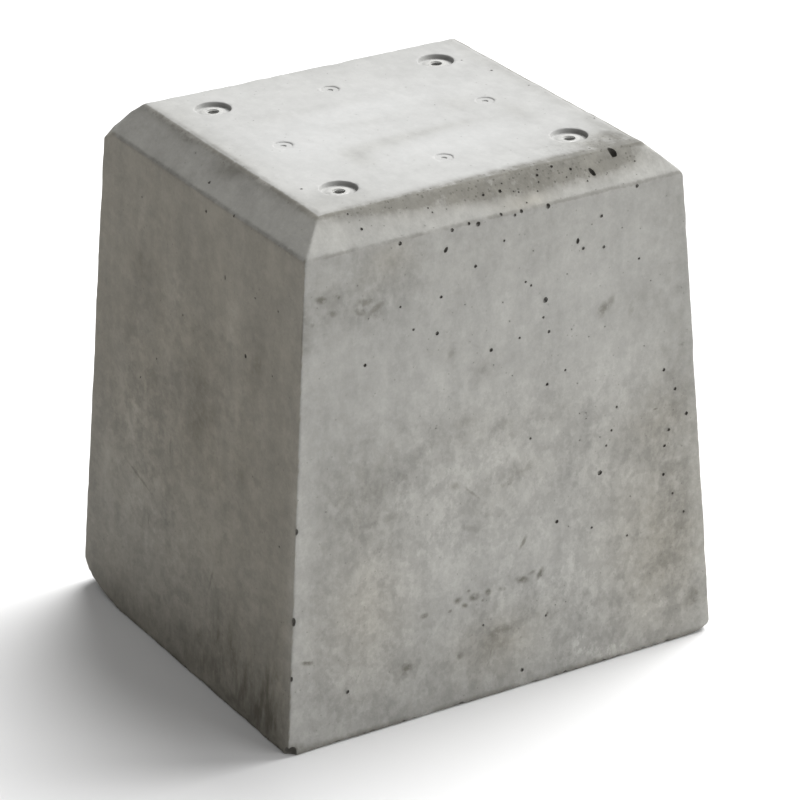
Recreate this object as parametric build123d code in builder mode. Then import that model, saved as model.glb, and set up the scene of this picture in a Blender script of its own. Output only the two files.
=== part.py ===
"""Concrete deck pier block.

A tapered block, cast in one piece with a chamfered crown. Four threaded sockets
are cast into round recesses in its top, ready for a post or beam bracket.
Millimetres, +Z up, origin at the middle of the foot.
"""

import os

from build123d import *

# Cast body
BASE_LENGTH = 400.0
BASE_WIDTH = 350.0
HEIGHT = 430.0
END_TAPER = 30.0
FACE_TAPER = 13.0
ARRIS_RADIUS = 2.5

# Chamfered crown
CROWN_DROP = 24.0
CROWN_RUN_ENDS = 25.0
CROWN_RUN_FACES = 23.5

# Recesses around the sockets
RECESS_EDGE_X = 41.0
RECESS_EDGE_Y = 39.5
RECESS_RADIUS = 14.7
RECESS_DEPTH = 5.4
RECESS_DRAFT = 0.5

# Cast-in sockets with an M10 thread and a hexagonal anchor foot
SOCKET_SET_BACK = 3.0
SOCKET_RADIUS = 8.8
SOCKET_LENGTH = 50.0
ANCHOR_ACROSS_FLATS = 24.0
ANCHOR_THICKNESS = 6.0
THREAD_BORE_RADIUS = 4.25
THREAD_DEPTH = 34.0
MOUTH_CHAMFER = 0.5

# Shallow round marks that the mould's fixings left between the recesses
MARK_EDGE_X = 52.5
MARK_EDGE_Y = 51.5
MARK_SHIFT = 3.5
MARK_RADIUS = 7.6
MARK_DEPTH = 1.1
PILOT_RADIUS = 2.8
PILOT_DEPTH = 2.0

# Worn corners: how far each is cut back along X, Y and Z
FRONT_FOOT_WEAR = (7.0, 6.0, 6.0)
RIGHT_FOOT_WEAR = (42.0, 20.0, 5.5)
LEFT_FOOT_WEAR = (26.0, 44.0, 15.0)
LEFT_SHOULDER_WEAR = (9.0, 14.0, 8.0)

# Air voids in the long face at the front: across it, and below the shoulder
BUBBLE_RADIUS = 2.3
BUBBLES = ((41.0, 78.0), (91.0, 237.0))
PIT_RADIUS = 1.7
PIT_FLOOR_RADIUS = 0.8
PIT_DEPTH = 1.6
PITS = (
    (-88.0, 3.5),
    (-48.0, 17.0),
    (76.0, 43.0),
    (-121.0, 94.0),
    (44.0, 105.0),
    (-9.0, 108.0),
    (152.0, 163.0),
    (157.0, 216.0),
    (50.0, 269.0),
    (-145.0, 364.0),
    (16.0, 391.0),
)

# Air voids in the crown's front chamfer: across it, below the top, and radius
CROWN_BUBBLES = ((116.0, 5.0, 3.6), (92.0, 12.0, 2.6))

SHOULDER_HEIGHT = HEIGHT - CROWN_DROP
SHOULDER_LENGTH = BASE_LENGTH - 2 * END_TAPER
SHOULDER_WIDTH = BASE_WIDTH - 2 * FACE_TAPER
CROWN_LENGTH = SHOULDER_LENGTH - 2 * CROWN_RUN_ENDS
CROWN_WIDTH = SHOULDER_WIDTH - 2 * CROWN_RUN_FACES
SOCKET_SPACING_X = CROWN_LENGTH - 2 * RECESS_EDGE_X
SOCKET_SPACING_Y = CROWN_WIDTH - 2 * RECESS_EDGE_Y
SOCKET_TOP = HEIGHT - SOCKET_SET_BACK
MARK_REACH_X = CROWN_LENGTH / 2 - MARK_EDGE_X
MARK_REACH_Y = CROWN_WIDTH / 2 - MARK_EDGE_Y

FACE_LEAN = Vector(0, -SHOULDER_HEIGHT, FACE_TAPER)
SOCKET_PLACES = {
    "socket_front_left": (-SOCKET_SPACING_X / 2, -SOCKET_SPACING_Y / 2),
    "socket_front_right": (SOCKET_SPACING_X / 2, -SOCKET_SPACING_Y / 2),
    "socket_back_left": (-SOCKET_SPACING_X / 2, SOCKET_SPACING_Y / 2),
    "socket_back_right": (SOCKET_SPACING_X / 2, SOCKET_SPACING_Y / 2),
}
MARK_PLACES = (
    (-MARK_REACH_X - MARK_SHIFT, 0.0),
    (MARK_REACH_X - MARK_SHIFT, 0.0),
    (-MARK_SHIFT, -MARK_REACH_Y),
    (-MARK_SHIFT, MARK_REACH_Y),
)


def body_outline(foot, shoulder, crown):
    """Outline of the body seen from one side: a wide foot, a tapered wall and the crown."""
    Polyline(
        (-foot / 2, 0),
        (foot / 2, 0),
        (shoulder / 2, SHOULDER_HEIGHT),
        (crown / 2, HEIGHT),
        (-crown / 2, HEIGHT),
        (-shoulder / 2, SHOULDER_HEIGHT),
        close=True,
    )


def worn_corner(corner, wear, up):
    """Plane through the three points that a corner is worn back to, facing outwards."""
    x, y, z = corner
    inward_x = -1 if x > 0 else 1
    inward_y = -1 if y > 0 else 1
    along_x = Vector(x + inward_x * wear[0], y, z)
    along_y = Vector(x, y + inward_y * wear[1], z)
    along_z = Vector(x, y, z + up * wear[2])
    normal = (along_y - along_x).cross(along_z - along_x)
    outward = Vector(corner) - along_x
    if normal.dot(outward) < 0:
        normal = -normal
    return Plane(origin=along_x, z_dir=normal)


def on_long_face(across, below):
    """Plane on the leaning front face, facing outwards, at a place below the shoulder."""
    lean = FACE_TAPER * below / SHOULDER_HEIGHT
    origin = (across, -SHOULDER_WIDTH / 2 - lean, SHOULDER_HEIGHT - below)
    return Plane(origin=origin, z_dir=FACE_LEAN)


def on_front_chamfer(across, below):
    """Point on the crown's front chamfer, at a place below the top."""
    run = CROWN_RUN_FACES * below / CROWN_DROP
    return (across, -CROWN_WIDTH / 2 - run, HEIGHT - below)


def socket_section(x, y):
    """Upright plane through a socket's axis: X is its radius, Y its depth from the mouth."""
    return Plane(origin=(x, y, SOCKET_TOP), x_dir=(1, 0, 0), z_dir=(0, 1, 0))


def socket_envelope(x, y):
    """All that lies inside a socket's outer surface, where the concrete stops."""
    anchor_plane = Plane(origin=(x, y, SOCKET_TOP - SOCKET_LENGTH))
    with BuildPart() as envelope:
        with BuildSketch(anchor_plane):
            Circle(SOCKET_RADIUS)
        extrude(amount=SOCKET_LENGTH)
        with BuildSketch(anchor_plane):
            RegularPolygon(ANCHOR_ACROSS_FLATS / 2, 6, major_radius=False)
        extrude(amount=ANCHOR_THICKNESS)
    return envelope.part


envelopes = {node: socket_envelope(x, y) for node, (x, y) in SOCKET_PLACES.items()}

os.makedirs("parts", exist_ok=True)

# Cast block: two crossed outlines, soft arrises and worn corners, then recesses and voids
with BuildPart() as pier_block:
    with BuildSketch(Plane.XZ):
        with BuildLine():
            body_outline(BASE_LENGTH, SHOULDER_LENGTH, CROWN_LENGTH)
        make_face()
    extrude(amount=BASE_WIDTH, both=True)
    with BuildSketch(Plane.YZ):
        with BuildLine():
            body_outline(BASE_WIDTH, SHOULDER_WIDTH, CROWN_WIDTH)
        make_face()
    extrude(amount=BASE_LENGTH, both=True, mode=Mode.INTERSECT)
    above_foot = pier_block.edges().filter_by(lambda edge: edge.center().Z > ARRIS_RADIUS)
    fillet(above_foot, radius=ARRIS_RADIUS)

    foot_x = BASE_LENGTH / 2
    foot_y = BASE_WIDTH / 2
    split(bisect_by=worn_corner((-foot_x, -foot_y, 0), FRONT_FOOT_WEAR, 1), keep=Keep.BOTTOM)
    split(bisect_by=worn_corner((foot_x, -foot_y, 0), RIGHT_FOOT_WEAR, 1), keep=Keep.BOTTOM)
    split(bisect_by=worn_corner((-foot_x, foot_y, 0), LEFT_FOOT_WEAR, 1), keep=Keep.BOTTOM)
    left_shoulder = (-SHOULDER_LENGTH / 2, SHOULDER_WIDTH / 2, SHOULDER_HEIGHT)
    split(bisect_by=worn_corner(left_shoulder, LEFT_SHOULDER_WEAR, -1), keep=Keep.BOTTOM)

    with Locations(*[(x, y, HEIGHT) for x, y in SOCKET_PLACES.values()]):
        Cone(
            RECESS_RADIUS - RECESS_DRAFT,
            RECESS_RADIUS,
            RECESS_DEPTH,
            align=(Align.CENTER, Align.CENTER, Align.MAX),
            mode=Mode.SUBTRACT,
        )
    for envelope in envelopes.values():
        add(envelope, mode=Mode.SUBTRACT)

    with Locations(*[(x, y, HEIGHT) for x, y in MARK_PLACES]):
        CounterBoreHole(PILOT_RADIUS, MARK_RADIUS, MARK_DEPTH, PILOT_DEPTH)

    with Locations(*[on_long_face(*place) for place in BUBBLES]):
        Sphere(BUBBLE_RADIUS, mode=Mode.SUBTRACT)
    with Locations(*[on_long_face(*place) for place in PITS]):
        Cone(
            PIT_FLOOR_RADIUS,
            PIT_RADIUS,
            PIT_DEPTH,
            align=(Align.CENTER, Align.CENTER, Align.MAX),
            mode=Mode.SUBTRACT,
        )
    for across, below, radius in CROWN_BUBBLES:
        with Locations(on_front_chamfer(across, below)):
            Sphere(radius, mode=Mode.SUBTRACT)

pier_block.part.label = "pier_block"
export_step(pier_block.part, "parts/pier_block.step")

# Threaded sockets: each envelope with a blind bore down from its mouth
for node, (x, y) in SOCKET_PLACES.items():
    with BuildPart() as socket:
        add(envelopes[node])
        with BuildSketch(socket_section(x, y)):
            with BuildLine():
                Polyline(
                    (0, 0),
                    (THREAD_BORE_RADIUS + MOUTH_CHAMFER, 0),
                    (THREAD_BORE_RADIUS, MOUTH_CHAMFER),
                    (THREAD_BORE_RADIUS, THREAD_DEPTH),
                    (0, THREAD_DEPTH),
                    close=True,
                )
            make_face()
        revolve(axis=Axis((x, y, SOCKET_TOP), (0, 0, 1)), mode=Mode.SUBTRACT)
    socket.part.label = node
    export_step(socket.part, f"parts/{node}.step")
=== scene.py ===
"""Look of the concrete deck pier block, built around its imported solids. Metres, +Z up."""

import math

import bmesh
import bpy
import numpy as np
from mathutils import Matrix, Vector, noise
from mathutils.kdtree import KDTree


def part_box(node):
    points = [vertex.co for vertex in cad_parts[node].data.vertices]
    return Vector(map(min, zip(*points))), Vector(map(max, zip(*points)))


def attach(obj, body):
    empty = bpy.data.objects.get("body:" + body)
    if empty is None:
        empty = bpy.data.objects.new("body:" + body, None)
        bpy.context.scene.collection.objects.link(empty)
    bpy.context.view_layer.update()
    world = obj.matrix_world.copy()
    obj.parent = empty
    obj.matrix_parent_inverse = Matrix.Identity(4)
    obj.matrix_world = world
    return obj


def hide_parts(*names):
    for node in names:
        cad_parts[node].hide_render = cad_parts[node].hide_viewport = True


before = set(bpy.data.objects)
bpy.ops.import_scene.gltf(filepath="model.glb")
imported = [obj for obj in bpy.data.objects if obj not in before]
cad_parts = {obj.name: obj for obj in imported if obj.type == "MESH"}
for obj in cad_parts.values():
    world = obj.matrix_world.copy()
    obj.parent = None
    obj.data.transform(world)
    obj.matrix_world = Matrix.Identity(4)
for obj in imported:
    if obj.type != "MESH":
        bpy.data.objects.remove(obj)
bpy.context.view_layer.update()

MM = 0.001

# The cast body, from the solids' own box and the same tapers as the solids
BLOCK_LOW, BLOCK_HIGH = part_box("pier_block")
FOOT_X = BLOCK_HIGH.x
FOOT_Y = BLOCK_HIGH.y
HEIGHT = BLOCK_HIGH.z
END_TAPER = 30 * MM
FACE_TAPER = 13 * MM
CROWN_DROP = 24 * MM
CROWN_RUN_ENDS = 25 * MM
CROWN_RUN_FACES = 23.5 * MM
SHOULDER_HEIGHT = HEIGHT - CROWN_DROP
SHOULDER_X = FOOT_X - END_TAPER
SHOULDER_Y = FOOT_Y - FACE_TAPER
CROWN_X = SHOULDER_X - CROWN_RUN_ENDS
CROWN_Y = SHOULDER_Y - CROWN_RUN_FACES

# Recesses, sockets and mould marks
SOCKET_NODES = ("socket_front_left", "socket_front_right", "socket_back_left", "socket_back_right")
RECESS_RADIUS = 14.7 * MM
RECESS_DEPTH = 5.4 * MM
RECESS_DRAFT = 0.5 * MM
SOCKET_SET_BACK = 3.0 * MM
LIP_DEPTH = 4.3 * MM
SOCKET_RADIUS = 8.8 * MM
BORE_RADIUS = 4.25 * MM
THREAD_RADIUS = 5.0 * MM
THREAD_PITCH = 1.5 * MM
THREAD_DEPTH = 34 * MM
MARK_PLACES = (
    (-96.0 * MM, 0.0),
    (89.0 * MM, 0.0),
    (-3.5 * MM, -87.0 * MM),
    (-3.5 * MM, 87.0 * MM),
)
MARK_RADIUS = 7.6 * MM
MARK_DEPTH = 1.1 * MM
PILOT_RADIUS = 2.8 * MM
PILOT_DEPTH = 2.0 * MM


def socket_axis(node):
    """The point where a socket's axis meets its upper end."""
    low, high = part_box(node)
    return Vector(((low.x + high.x) / 2, (low.y + high.y) / 2, high.z))


# Camera at the photograph's viewing angle
FRAME_PIXELS = 800
CAMERA_FOCAL_PIXELS = 3918.6
CAMERA_SENSOR = 36.0
CAMERA_PITCH = math.radians(25.128)
CAMERA_YAW = math.radians(31.0)
CAMERA_ROLL = math.radians(-0.337)
CAMERA_DISTANCE = 3.1803
CAMERA_TARGET = Vector((0, 0, 0.2))
CAMERA_SIDE = 7.2 * MM
CAMERA_LIFT = -11.2 * MM
CAMERA_REACH = 50


def make_camera():
    """Camera placed by its yaw, pitch and roll around the target."""
    turn = Matrix.Rotation(-CAMERA_YAW, 3, "Z")
    turn = turn @ Matrix.Rotation(math.pi / 2 - CAMERA_PITCH, 3, "X")
    turn = turn @ Matrix.Rotation(CAMERA_ROLL, 3, "Z")
    place = CAMERA_TARGET + turn @ Vector((CAMERA_SIDE, CAMERA_LIFT, CAMERA_DISTANCE))
    data = bpy.data.cameras.new("camera")
    data.sensor_width = CAMERA_SENSOR
    data.lens = CAMERA_FOCAL_PIXELS / FRAME_PIXELS * CAMERA_SENSOR
    data.clip_end = CAMERA_REACH
    camera = bpy.data.objects.new("camera", data)
    bpy.context.scene.collection.objects.link(camera)
    camera.matrix_world = Matrix.Translation(place) @ turn.to_4x4()
    bpy.context.scene.camera = camera


# Worn surface: the body is where its planes meet, with each arris rounded by wear
ARRIS_WEAR = 1.7 * MM
ARRIS_WEAR_SWING = 1.4 * MM
FOOT_WEAR = 0.7 * MM
FOOT_WEAR_HEIGHT = 12 * MM
CROWN_WEAR = 1.6 * MM
CROWN_WEAR_DEPTH = 7 * MM
LEAST_WEAR = 0.4 * MM
SKIN_WAVE = 0.5 * MM
SKIN_GRAIN = 0.1 * MM
FLAT_FOOT = 0.5 * MM
SURFACE_STEPS = 6
# Noise of each kind of wear: scale and octaves
ARRIS_NOISE = (45, 4)
FOOT_NOISE = (40, 3)
CROWN_NOISE = (60, 3)
WAVE_NOISE = (9, 2)
GRAIN_NOISE = (160, 2)
SEED_OFFSET = Vector((31.7, 12.3, 5.1))
# Worn corners: place, and how far each is cut back along X, Y and Z in millimetres
CORNER_WEAR = (
    ((-FOOT_X, -FOOT_Y, 0), (7, 6, 6)),
    ((FOOT_X, -FOOT_Y, 0), (20, 12, 5.0)),
    ((FOOT_X, -FOOT_Y, 0), (10, 7, 9)),
    ((-FOOT_X, FOOT_Y, 0), (26, 44, 15)),
    ((-FOOT_X, FOOT_Y, 0), (13, 22, 24)),
    ((-FOOT_X, FOOT_Y, 0), (36, 62, 9.6)),
    ((-SHOULDER_X, SHOULDER_Y, SHOULDER_HEIGHT), (9, 14, -8)),
)

# Grid of the body's mesh: finer along the arrises
GRID_STEP = 4.2 * MM
EDGE_STEP = 1.5 * MM
EDGE_ROWS = 6
EDGE_BAND = EDGE_ROWS * EDGE_STEP
EDGE_PLACES = [k * EDGE_STEP for k in range(EDGE_ROWS)]


def body_planes():
    """Outward normal and distance of each plane of the body, by the name of its face."""
    end_lean = Vector((SHOULDER_HEIGHT, 0, END_TAPER)).normalized()
    face_lean = Vector((0, SHOULDER_HEIGHT, FACE_TAPER)).normalized()
    end_crown = Vector((CROWN_DROP, 0, CROWN_RUN_ENDS)).normalized()
    face_crown = Vector((0, CROWN_DROP, CROWN_RUN_FACES)).normalized()
    foot = Vector((FOOT_X, FOOT_Y, 0))
    top = Vector((CROWN_X, CROWN_Y, HEIGHT))
    planes = {}
    for side, names in ((1, ("right", "back")), (-1, ("left", "front"))):
        for name, normal, point in (
            (names[0], end_lean, foot),
            (names[1], face_lean, foot),
            (names[0] + "_chamfer", end_crown, top),
            (names[1] + "_chamfer", face_crown, top),
        ):
            turned = Vector((normal.x * side, normal.y * side, normal.z))
            at = Vector((point.x * side, point.y * side, point.z))
            planes[name] = (turned, turned.dot(at))
    planes["top"] = (Vector((0, 0, 1)), HEIGHT)
    planes["underside"] = (Vector((0, 0, -1)), 0.0)
    return planes


def worn_planes():
    """Planes that the worn corners are cut back to."""
    planes = []
    for corner, wear in CORNER_WEAR:
        x, y, z = corner
        along_x = Vector((x - math.copysign(wear[0] * MM, x), y, z))
        along_y = Vector((x, y - math.copysign(wear[1] * MM, y), z))
        along_z = Vector((x, y, z + wear[2] * MM))
        normal = (along_y - along_x).cross(along_z - along_x).normalized()
        if normal.dot(Vector(corner) - along_x) < 0:
            normal = -normal
        planes.append((normal, normal.dot(along_x)))
    return planes


PLANES = body_planes()
FACE_NAMES = list(PLANES)
ALL_PLANES = list(PLANES.values()) + worn_planes()
PLANE_NORMALS = np.array([list(normal) for normal, _ in ALL_PLANES])
PLANE_REACH = np.array([distance for _, distance in ALL_PLANES])


def turbulence(points, scale, octaves):
    """Smooth noise, about -1 to 1, at each point, finer with each octave."""
    places = [Vector(point) * scale + SEED_OFFSET for point in points]
    return np.array([noise.fractal(place, 1.0, 2.0, octaves) for place in places])


def wear_at(points):
    """How far the arrises are rounded and the skin has sunk at each point."""
    radius = ARRIS_WEAR + ARRIS_WEAR_SWING * turbulence(points, *ARRIS_NOISE)
    near_foot = np.clip(1 - points[:, 2] / FOOT_WEAR_HEIGHT, 0, 1)
    radius = radius + near_foot * FOOT_WEAR * (1 + turbulence(points, *FOOT_NOISE))
    near_crown = np.clip(1 - (HEIGHT - points[:, 2]) / CROWN_WEAR_DEPTH, 0, 1)
    radius = radius + near_crown * CROWN_WEAR * (1 + turbulence(points, *CROWN_NOISE))
    wave = SKIN_WAVE * (0.5 + 0.5 * turbulence(points, *WAVE_NOISE))
    sink = wave + SKIN_GRAIN * (1 + turbulence(points, *GRAIN_NOISE))
    return np.maximum(radius, LEAST_WEAR), np.where(points[:, 2] < FLAT_FOOT, 0, sink)


def gap_to_surface(points, radius, sink):
    """Signed distance outward from the worn surface, and the direction straight out."""
    depth = points @ PLANE_NORMALS.T - PLANE_REACH
    over = np.maximum(depth + radius[:, None], 0)
    length = np.linalg.norm(over, axis=1)
    safe = np.maximum(length, 1e-9)[:, None]
    outward = np.where(length[:, None] > 1e-9, over @ PLANE_NORMALS / safe, 0)
    return np.where(length > 0, length - radius, depth.max(axis=1)) + sink, outward


def onto_surface(points):
    """Moves each point straight in or out until the worn surface passes through it."""
    radius, sink = wear_at(points)
    moved = points.copy()
    for _ in range(SURFACE_STEPS):
        gap, outward = gap_to_surface(moved, radius, sink)
        rate = np.maximum((outward**2).sum(axis=1), 1e-9)
        moved -= (gap / rate)[:, None] * outward
    return moved


def even_steps(low, high):
    """Places from low to high, about one step of the grid apart."""
    return list(np.linspace(low, high, round((high - low) / GRID_STEP)))


def spaced(half):
    """Places from -half to half, closer together near both ends, as shares of half."""
    middle = even_steps(EDGE_BAND, 2 * half - EDGE_BAND)
    far_edge = [2 * half - value for value in reversed(EDGE_PLACES)]
    return [(value - half) / half for value in EDGE_PLACES + middle + far_edge]


def body_rows():
    """Heights of the rings up the sides."""
    wall_top = SHOULDER_HEIGHT - EDGE_BAND
    crown_rows = round((HEIGHT - wall_top) / EDGE_STEP)
    crown = [wall_top + (HEIGHT - wall_top) * (k + 1) / crown_rows for k in range(crown_rows)]
    return EDGE_PLACES + even_steps(EDGE_BAND, wall_top) + crown


def half_sizes(height):
    """Half length and half width of the body at a height."""
    if height <= SHOULDER_HEIGHT:
        share = height / SHOULDER_HEIGHT
        return FOOT_X - END_TAPER * share, FOOT_Y - FACE_TAPER * share
    share = (height - SHOULDER_HEIGHT) / CROWN_DROP
    return SHOULDER_X - CROWN_RUN_ENDS * share, SHOULDER_Y - CROWN_RUN_FACES * share


def body_grid():
    """Closed box of quads on the body's flat faces: rings up the sides, then a lid at each end."""
    columns_x, columns_y = spaced(FOOT_X), spaced(FOOT_Y)
    ring = [(u, -1.0) for u in columns_x[:-1]]
    ring += [(1.0, v) for v in columns_y[:-1]]
    ring += [(u, 1.0) for u in columns_x[:0:-1]]
    ring += [(-1.0, v) for v in columns_y[:0:-1]]
    heights = body_rows()
    places = {(*at, height): None for height in heights for at in ring}
    quads = []
    for low, high in zip(heights, heights[1:]):
        for at, after in zip(ring, ring[1:] + ring[:1]):
            quads.append(((*at, low), (*after, low), (*after, high), (*at, high)))
    for height, order in ((heights[0], -1), (heights[-1], 1)):
        for u, next_u in zip(columns_x, columns_x[1:]):
            for v, next_v in zip(columns_y, columns_y[1:]):
                quad = ((u, v, height), (next_u, v, height), (next_u, next_v, height), (u, next_v, height))
                quads.append(quad[::order])
                places.update(dict.fromkeys(quad))
    index = {place: number for number, place in enumerate(places)}
    points = [(u * half_sizes(height)[0], v * half_sizes(height)[1], height) for u, v, height in places]
    return np.array(points), [tuple(index[place] for place in quad) for quad in quads]


def mesh_object(name, points, faces):
    """Object with a mesh, linked to the scene."""
    mesh = bpy.data.meshes.new(name)
    mesh.from_pydata([tuple(point) for point in points], [], faces)
    mesh.validate()
    mesh.update()
    piece = bpy.data.objects.new(name, mesh)
    bpy.context.scene.collection.objects.link(piece)
    return piece


def cut_away(piece, tool):
    """Takes the tool's volume out of a piece, and removes the tool."""
    modifier = piece.modifiers.new("cut", "BOOLEAN")
    modifier.operation = "DIFFERENCE"
    modifier.solver = "MANIFOLD"
    modifier.object = tool
    bpy.context.view_layer.update()
    graph = bpy.context.evaluated_depsgraph_get()
    result = bpy.data.meshes.new_from_object(piece.evaluated_get(graph))
    piece.modifiers.clear()
    piece.data = result
    bpy.data.objects.remove(tool)


# Recesses, and the shallow marks between them
CUTTER_SEGMENTS = 72
MARK_SEGMENTS = 40
RECESS_WOBBLE = 0.012
MARK_WOBBLE = 0.05
WOBBLE_AROUND = 2.5
WOBBLE_DOWN = 60


def turned_point(centre, radius, angle, height):
    """Point around an upright axis, at a height from its centre."""
    return (centre[0] + radius * math.cos(angle), centre[1] + radius * math.sin(angle), centre[2] + height)


def lathe(points, faces, centre, profile, segments, wobble=0.0, seed=0.0, open_top=False):
    """Adds a turned form to a mesh: profile points are (radius, height), from the top down."""
    first = len(points)
    for r, z in profile:
        for k in range(segments):
            angle = 2 * math.pi * k / segments
            at = turned_point((0, 0, seed), WOBBLE_AROUND, angle, z * WOBBLE_DOWN)
            radius = r * (1 + wobble * noise.noise(Vector(at) + SEED_OFFSET))
            points.append(turned_point(centre, radius, angle, z))
    for row in range(len(profile) - 1):
        for k in range(segments):
            a, b = first + row * segments + k, first + row * segments + (k + 1) % segments
            faces.append((a, a + segments, b + segments, b))
    if not open_top:
        faces.append(tuple(range(first, first + segments)))
    last = first + (len(profile) - 1) * segments
    faces.append(tuple(range(last + segments - 1, last - 1, -1)))


def profile_of(*parts):
    """Profile from parts: a radius, a height, and millimetres outward and upward from them."""
    return [(radius + out * MM, height + up * MM) for radius, height, steps in parts for out, up in steps]


def recess_cutters():
    """Tools for the recesses, their socket pockets, and the shallow mould marks."""
    points, faces = [], []
    recess_profile = profile_of(
        (RECESS_RADIUS, 0, ((1.4, 6), (1.4, 0.2), (0.7, -0.2), (0.2, -0.7), (-0.1, -1.4))),
        (RECESS_RADIUS - RECESS_DRAFT, -LIP_DEPTH, ((0, 0.8), (-0.4, 0.25), (-1.2, 0))),
        (SOCKET_RADIUS, -LIP_DEPTH, ((2.6, 0.3), (1.2, 0.8))),
        (SOCKET_RADIUS, -SOCKET_SET_BACK, ((0, -0.05), (-0.4, -0.1))),
        (SOCKET_RADIUS, -RECESS_DEPTH, ((-0.4, -20),)),
    )
    for k, node in enumerate(SOCKET_NODES):
        centre = (*socket_axis(node).xy, HEIGHT)
        lathe(points, faces, centre, recess_profile, CUTTER_SEGMENTS, RECESS_WOBBLE, k * 7.0)
    mark_profile = profile_of(
        (MARK_RADIUS, 0, ((0.6, 6), (0.6, 0.1), (0, -0.5))),
        (MARK_RADIUS, -MARK_DEPTH, ((-0.5, 0),)),
        (PILOT_RADIUS, -MARK_DEPTH, ((0, -0.05),)),
        (PILOT_RADIUS * 0.8, -PILOT_DEPTH, ((0, 0),)),
    )
    for k, (x, y) in enumerate(MARK_PLACES):
        lathe(points, faces, (x, y, HEIGHT), mark_profile, MARK_SEGMENTS, MARK_WOBBLE, 50 + k * 7.0)
    return mesh_object("recess_cutters", points, faces)


# Air voids: places in millimetres, across a face and up from the foot, by the mouth's radius
VOIDS = {
    "front": {
        2.3: ((41, 328), (91, 169)),
        1.75: ((-88, 403), (-9, 298), (50, 137), (16, 15), (-145, 42), (174, 200), (-57, 323)),
        1.5: (
            (76, 363), (95, 360), (44, 301), (-121, 312), (152, 243), (163, 224), (157, 190), (153, 177),
            (152, 152), (-22, 370), (-53, 352), (93, 386), (42, 257),
        ),
        1.15: (
            (128, 343), (23, 347), (28, 343), (39, 314), (-89, 352), (-78, 331), (17, 302), (59, 265),
            (102, 203), (97, 191), (107, 222), (26, 215), (161, 133), (172, 114), (83, 123), (117, 107),
            (-20, 65), (39, 57), (4, 385),
        ),
        0.7: (
            (30, 371), (81, 288), (2, 335), (-117, 349), (65, 298), (96, 293), (-7, 285), (91, 200),
            (72, 225), (78, 224), (78, 219), (72, 202), (120, 141), (61, 130), (-159, 200), (-60, 245),
            (48, 64), (58, 64), (84, 381), (112, 372), (139, 322), (61, 345), (8, 318), (-32, 341),
            (133, 268), (70, 251), (10, 272),
        ),
    },
    "front_chamfer": {
        2.1: ((44, 405), (-19, 404)),
        1.6: ((9, 420), (20, 406), (-42, 404), (126, 404)),
        1.3: ((-6, 420), (45, 424), (60, 427), (75, 423), (14, 404), (2, 407), (-27, 406), (-115, 417)),
        0.8: (
            (-53, 417), (-55, 420), (27, 410), (40, 415), (13, 424), (20, 418), (24, 417), (44, 420),
            (69, 419), (47, 427), (-121, 427), (85, 414), (132, 419),
        ),
    },
    "left": {
        1.3: ((-10, 394), (-53, 405), (-1, 413)),
        0.9: ((-91, 352), (-126, 354), (20, 297), (-145, 168), (-122, 300), (86, 219), (60, 245)),
    },
    "top": {
        1.2: ((-129, -86), (130, 55)),
        0.8: ((-103, -2), (141, -79), (126, -123), (122, 88), (137, 10)),
    },
}
# Long voids: face, place, half width, half height, lean in degrees
LONG_VOIDS = (
    ("front", (-48, 389), 1.7, 2.6, -30),
    ("front", (71, 370), 1.5, 2.6, -8),
    ("front_chamfer", (116.5, 427), 3.4, 5.0, 10),
    ("front_chamfer", (92, 418.5), 2.2, 4.1, 25),
    ("left", (-44, 352), 0.8, 2.4, 5),
    ("left", (64, 102), 0.5, 8.0, -6),
)
# Nicks along the front upright arris: height and radius
ARRIS_NICKS = ((190, 1.9), (115, 2.4), (67, 1.5))
NICK_STRETCH = 1.5
# Chip at the front foot corner: height, half sizes and lean
FRONT_CORNER_CHIP = (0.5, (7.5, 5.5, 4.5))
FRONT_CHIP_LEAN = 20
# Nicks at random along the foot
FOOT_NICK_SEED = 23
FOOT_NICKS = 120
FOOT_NICK_SIZES = (0.5, 0.7, 0.9, 1.2)
FOOT_NICK_STRETCH = (1.2, 3.2)
FOOT_NICK_HEIGHTS = (0.0, 1.6)
FOOT_NICK_MARGIN = 8
# Voids at random: how many on each face, seed and radii
SPARE_VOIDS = (
    {"back": 56, "right": 40, "left": 3, "back_chamfer": 14, "right_chamfer": 10, "left_chamfer": 1},
    41,
    (0.6, 0.6, 0.9, 0.9, 1.3, 1.7),
)
PINHOLES = ({"front": 60, "back": 60, "right": 50, "left": 16, "front_chamfer": 30, "top": 8}, 17, (0.45,))
VOID_SINK = 0.3
SMALL_VOID = 1.2 * MM
SMALL_VOID_DEPTH = 0.7
VOID_ROUGHNESS = 0.22
VOID_LUMPS = 1.3
VOID_VARIETY = 900
VOID_CLEARANCE = 0.6 * MM
VOID_MARGIN = 4
VOID_RISE = 1.4
VOID_LEANS = (-30, 30)
ROUND_VOID = 0.8 * MM
RECESS_CLEARANCE = 20 * MM
END_FACES = ("left", "right", "left_chamfer", "right_chamfer")


def face_point(face, across, up):
    """Point on a flat face, from millimetres across it and up from the foot (for the top, x and y)."""
    if face == "top":
        return Vector((across * MM, up * MM, HEIGHT))
    side = 1 if face.startswith(("right", "back")) else -1
    half_x, half_y = half_sizes(up * MM)
    if face in END_FACES:
        return Vector((side * half_x, across * MM, up * MM))
    return Vector((across * MM, side * half_y, up * MM))


def axes_on(normal, lean):
    """Directions sideways and upward on a surface, turned by a lean in degrees, and straight out."""
    sideways = Vector((0, 0, 1)).cross(normal)
    sideways = sideways.normalized() if sideways.length > 0.1 else Vector((1, 0, 0))
    turn = Matrix.Rotation(math.radians(lean), 3, normal)
    return turn @ sideways, turn @ normal.cross(sideways), normal


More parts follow.
